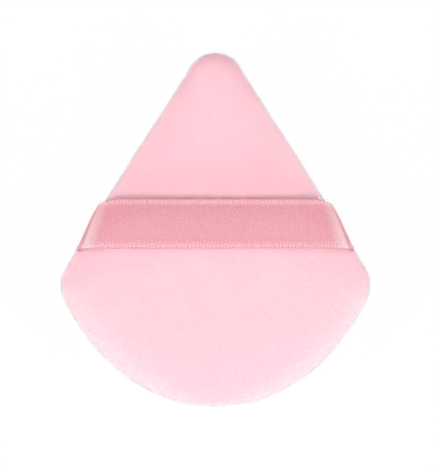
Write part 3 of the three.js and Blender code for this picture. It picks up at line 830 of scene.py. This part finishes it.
def spikes(root, up, draw):
    """Four points for each tuft, three round its root and one at its tip, and the way it faces."""
    count = len(root)
    nap = DOWN_THE_PAD - up * -up[:, 1:2]
    lean = unit(up + PILE_LEAN * nap + PILE_JITTER * draw.normal(size=(count, 3)))
    side = unit(np.cross(up, draw.normal(size=(count, 3))))
    over = np.cross(up, side)
    foot = root - PILE_ROOT * up
    angles = [TURN * k / 3 for k in range(3)]
    ring = [foot + PILE_RADIUS * (math.cos(t) * side + math.sin(t) * over) for t in angles]
    tips = root + lean * (PILE_LENGTH * draw.uniform(*PILE_SPREAD, count))[:, None]
    tips[:, 2] = tips[:, 2].clip(0)
    facing = unit(up + PILE_LIFT * UP + PILE_FACING * draw.normal(size=(count, 3)))
    return np.stack((*ring, tips), 1).reshape(-1, 3), facing


# %% Grow the pile
def grow_pile(name, panel, shown, count, seed, material, painted_light_crowding=0.0):
    """Closed spikes on the outside of a panel, as one piece: painted_light_crowding crowds them as painted
    light and thins them as painted shade.
    """
    draw = np.random.default_rng(seed)
    root, up = tuft_places(panel, shown, count, draw, painted_light_crowding)
    points, facing = spikes(root, up, draw)
    faces = (len(SPIKE) * np.arange(count)[:, None, None] + SPIKE).reshape(-1, 3)
    pile_mesh = bpy.data.meshes.new(name)
    pile_mesh.from_pydata((points * MM).tolist(), [], faces.tolist())
    pile_mesh.shade_smooth()
    pile_mesh.normals_split_custom_set_from_vertices(np.repeat(facing, len(SPIKE), 0))
    pile_mesh.materials.append(material)
    piece = bpy.data.objects.new(name, pile_mesh)
    piece.visible_shadow = False
    bpy.context.collection.objects.link(piece)
    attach(piece, "pad")


grow_pile("back_pile_pale", back, back_shown, count=16000, seed=11, material=pale, painted_light_crowding=3.0)
grow_pile("back_pile_deep", back, back_shown, count=32000, seed=12, material=deep)
grow_pile("front_pile_pale", front, front_shown, count=9000, seed=13, material=pale)
grow_pile("front_pile_deep", front, front_shown, count=9000, seed=14, material=deep)

# %% [markdown]
# ## Satin ribbon
# The ribbon is woven from bright polyester filament. Fine floats run in shallow diagonals that lean
# towards each other at the middle, and filling yarns show as upright ribs near the ends. Turned at the
# selvedge, the filling makes a row of pale loops. Modelling each yarn would take a million faces, so the
# loops are in the mesh and the floats are waves in the material, drawn about twice as coarse as they are
# so that they show. Filament yarn is smooth, so the face has a soft gloss.

# %% Weave of the ribbon
FLOAT_PITCH, RIB_PITCH = 0.54, 0.55
FLOAT_LEAN = math.tan(math.radians(27))
POINT_HALF = 3.0  # how softly the floats turn at the middle
SLIP_SCALE, YARN_SCALE = 0.7, 2.6  # per millimetre
FLOAT_SLIP, WEAVE_DEPTH, YARN_SHARE = 0.7, 0.6, 0.3

# Woven bright filament: fine slanting lines, darker in their furrows, on a face with a soft gloss.
satin, tree = new_material("polyester_satin_ribbon")
flat_place = add(tree, "ShaderNodeUVMap", uv_map="ribbon_mm").outputs[0]
parts = add(tree, "ShaderNodeSeparateXYZ", {0: flat_place})
u, v = parts.outputs[0], parts.outputs[1]
squared = add(tree, "ShaderNodeMath", {0: u, 1: u, 2: POINT_HALF ** 2}, operation="MULTIPLY_ADD")
mirror = add(tree, "ShaderNodeMath", {0: squared.outputs[0]}, operation="SQRT").outputs[0]
slip = add(tree, "ShaderNodeTexNoise", {"Vector": flat_place, "Scale": SLIP_SCALE, "Detail": 2.0}).outputs[0]
yarn = add(tree, "ShaderNodeTexNoise", {"Vector": flat_place, "Scale": YARN_SCALE, "Detail": 2.0}).outputs[0]
lean = add(tree, "ShaderNodeMath", {0: mirror, 1: -FLOAT_LEAN, 2: v}, operation="MULTIPLY_ADD").outputs[0]
slipped = add(tree, "ShaderNodeMath", {0: slip, 1: FLOAT_SLIP, 2: lean}, operation="MULTIPLY_ADD").outputs[0]
float_phase = add(tree, "ShaderNodeMath", {0: slipped, 1: TURN / FLOAT_PITCH},
                  operation="MULTIPLY").outputs[0]
float_wave = add(tree, "ShaderNodeMath", {0: float_phase}, operation="SINE").outputs[0]
rib_phase = add(tree, "ShaderNodeMath", {0: u, 1: TURN / RIB_PITCH}, operation="MULTIPLY").outputs[0]
rib_wave = add(tree, "ShaderNodeMath", {0: rib_phase}, operation="SINE").outputs[0]
print("weave: floats of", FLOAT_PITCH, "mm and ribs of", RIB_PITCH, "mm")

# %% Colour of the weave
RIB_RANGE, RIB_SHARE = (13.0, 23.0), (0.25, 0.55)  # towards the ends the ribs show more
PAINTED_END_LIGHT_RANGE, PAINTED_END_LIGHT = (8.0, 20.0), (0.5, 0.61)  # and the cloth is painted a little paler, as painted light
YARN_RANGE = (0.35, 0.65)

# The level is painted light: towards the ends the weave is painted a little paler.
near_end, level = (add(tree, "ShaderNodeMapRange", {
    "Value": mirror,
    "From Min": span[0],
    "From Max": span[1],
    "To Min": values[0],
    "To Max": values[1],
}).outputs[0] for span, values in ((RIB_RANGE, RIB_SHARE), (PAINTED_END_LIGHT_RANGE, PAINTED_END_LIGHT)))
woven = add(tree, "ShaderNodeMix", {0: near_end, 2: float_wave, 3: rib_wave}).outputs[0]
uneven_yarn = add(tree, "ShaderNodeMapRange",
                  {"Value": yarn, "From Min": YARN_RANGE[0], "From Max": YARN_RANGE[1]}).outputs[0]
dashes = add(tree, "ShaderNodeMath", {0: woven, 1: uneven_yarn}, operation="MULTIPLY").outputs[0]
relief = add(tree, "ShaderNodeMath", {0: dashes, 1: WEAVE_DEPTH, 2: level},
             operation="MULTIPLY_ADD").outputs[0]
tone = add(tree, "ShaderNodeMix", {0: YARN_SHARE, 2: relief, 3: uneven_yarn}).outputs[0]
body = add(tree, "ShaderNodeMix", {0: tone, 6: linear("#CC7081"), 7: linear("#F3ADB7")},
           data_type="RGBA").outputs[2]
print("weave colour:", len(tree.nodes), "nodes")

# %% Selvedges and bends of the ribbon
LOOP_TWIST, LOOP_SLIP, LOOP_DEPTH = 0.25, 1.2, 0.35
SELVEDGE_START, SELVEDGE_FULL = 1.4, 0.6  # in selvedge widths from the edge
EDGE_LINE = 0.22
PAINTED_HIGHLIGHT_SHARE = 0.5

centred = add(tree, "ShaderNodeMath", {0: v, 1: RIBBON_WIDTH / 2}, operation="SUBTRACT").outputs[0]
off_centre = add(tree, "ShaderNodeMath", {0: centred}, operation="ABSOLUTE").outputs[0]
twist = add(tree, "ShaderNodeMath", {0: off_centre, 1: LOOP_TWIST, 2: u}, operation="MULTIPLY_ADD").outputs[0]
loose = add(tree, "ShaderNodeMath", {0: slip, 1: LOOP_SLIP, 2: twist}, operation="MULTIPLY_ADD").outputs[0]
loop_phase = add(tree, "ShaderNodeMath", {0: loose, 1: TURN / LOOP_PITCH}, operation="MULTIPLY").outputs[0]
loop_wave = add(tree, "ShaderNodeMath", {0: loop_phase}, operation="COSINE").outputs[0]
loop = add(tree, "ShaderNodeMath", {0: loop_wave, 1: LOOP_DEPTH, 2: uneven_yarn},
           operation="MULTIPLY_ADD").outputs[0]
loops = add(tree, "ShaderNodeMix", {0: loop, 6: linear("#E498A4"), 7: linear("#F4BBC3")},
            data_type="RGBA").outputs[2]
edge = add(tree, "ShaderNodeMapRange", {
    "Value": off_centre,
    "From Min": RIBBON_WIDTH / 2 - SELVEDGE_START * SELVEDGE,
    "From Max": RIBBON_WIDTH / 2 - SELVEDGE_FULL * SELVEDGE,
}).outputs[0]
face = add(tree, "ShaderNodeMix", {0: edge, 6: body, 7: loops}, data_type="RGBA").outputs[2]
rim_line = add(tree, "ShaderNodeMapRange", {
    "Value": off_centre,
    "From Min": RIBBON_WIDTH / 2 - EDGE_LINE,
    "From Max": RIBBON_WIDTH / 2,
}).outputs[0]
edged = add(tree, "ShaderNodeMix", {0: rim_line, 6: face, 7: linear("#E08C9C")}, data_type="RGBA").outputs[2]
# Painted highlight: along the bend the colour is mixed towards pale pink.
painted_bend_highlight = add(tree, "ShaderNodeAttribute", attribute_name="crease").outputs["Fac"]
paler = add(tree, "ShaderNodeMath", {0: painted_bend_highlight, 1: PAINTED_HIGHLIGHT_SHARE}, operation="MULTIPLY").outputs[0]
colour = add(tree, "ShaderNodeMix", {0: paler, 6: edged, 7: linear("#FFEFF0")}, data_type="RGBA").outputs[2]
print("selvedges: loops", LOOP_PITCH, "mm apart")

# %% Satin material
# The gloss of filament is broken up, because each float is a tiny ridge.
bump = add(tree, "ShaderNodeBump", {"Height": relief, "Strength": 0.6, "Distance": 0.06 * MM})
shader = add(tree, "ShaderNodeBsdfPrincipled", {
    "Base Color": colour,
    "Roughness": 0.45,
    "IOR": 1.5,
    "Sheen Weight": 0.15,
    "Sheen Roughness": 0.4,
    "Sheen Tint": linear("#FFE4E8"),
    "Normal": bump.outputs[0],
})
add(tree, "ShaderNodeOutputMaterial", {"Surface": shader.outputs[0]})
ribbon_mesh.materials.append(satin)
print("satin ribbon:", len(tree.nodes), "nodes")

# %% [markdown]
# ## Sponge and thread
# Polyurethane foam is full of burst bubbles, about half a millimetre across, which a cell texture gives
# at once. Sewing thread is two spun plies twisted together, so it carries a fine slanting stripe. Bands
# are enough for that, drawn several times as coarse as the twist, because a finer stripe wouldn't show.

# %% Foam
PORE = 0.5

# Slabstock polyurethane, cut through its bubbles: matt, with dark pits.
foam, tree = new_material("polyurethane_foam")
place = add(tree, "ShaderNodeTexCoord").outputs["Object"]
pores = add(tree, "ShaderNodeTexVoronoi", {"Vector": place, "Scale": 1 / (PORE * MM)}).outputs["Distance"]
colour = add(tree, "ShaderNodeMix", {0: pores, 6: linear("#E3C6C8"), 7: linear("#FBE9E7")}, data_type="RGBA")
bump = add(tree, "ShaderNodeBump", {"Height": pores, "Distance": 0.2 * MM})
shader = add(tree, "ShaderNodeBsdfPrincipled",
             {"Base Color": colour.outputs[2], "Roughness": 0.95, "Normal": bump.outputs[0]})
add(tree, "ShaderNodeOutputMaterial", {"Surface": shader.outputs[0]})
sponge.data.materials.append(foam)
print("foam: pores of", PORE, "mm")

# %% Thread
TWIST_PITCH = 0.35
WAVE_RATE = 20  # a wave texture of scale 1 turns about this many radians to the metre

# Spun polyester, two plies: a dull thread with a slanting stripe.
spun, tree = new_material("spun_polyester_thread")
place = add(tree, "ShaderNodeTexCoord").outputs["Object"]
twist_scale = 1 / (TWIST_PITCH * MM * WAVE_RATE)
plies = add(tree, "ShaderNodeTexWave", {"Vector": place, "Scale": twist_scale, "Distortion": 1.0},
            bands_direction="DIAGONAL").outputs["Fac"]
colour = add(tree, "ShaderNodeMix", {0: plies, 6: linear("#E59AAA"), 7: linear("#F9C3CC")}, data_type="RGBA")
shader = add(tree, "ShaderNodeBsdfPrincipled", {"Base Color": colour.outputs[2], "Roughness": 0.65})
add(tree, "ShaderNodeOutputMaterial", {"Surface": shader.outputs[0]})
for name in ("seam_needle_thread", "seam_bobbin_thread", "closing_thread"):
    nodes[name].data.materials.clear()
    nodes[name].data.materials.append(spun)
print("thread: twist of", TWIST_PITCH, "mm")
